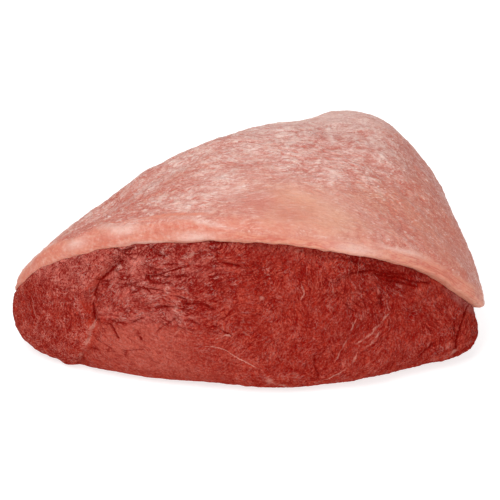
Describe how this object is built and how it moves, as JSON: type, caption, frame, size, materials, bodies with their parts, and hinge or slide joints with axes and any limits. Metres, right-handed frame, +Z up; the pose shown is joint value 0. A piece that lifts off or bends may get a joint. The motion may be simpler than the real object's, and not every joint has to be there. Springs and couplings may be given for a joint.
{
  "type": "raw picanha",
  "caption": "Whole raw beef rump cap lying fat side up, with a broad red cut face, a domed pale fat cap and a tapering back.",
  "frame": {"origin": "on the surface that the meat rests on, under the middle of its bounding box", "axes": "+X along the cut towards its right corner, +Y back from the cut face towards the tip, +Z up through the fat cap"},
  "size_m": [0.1902, 0.1766, 0.08],
  "materials": {
    "lean": "moist raw red muscle, satin with small wet highlights",
    "fat": "pale pink raw fat, satin and slightly translucent"
  },
  "bodies": {
    "root": {"lean": "lean", "fat_cap": "fat"}
  },
  "joints": []
}
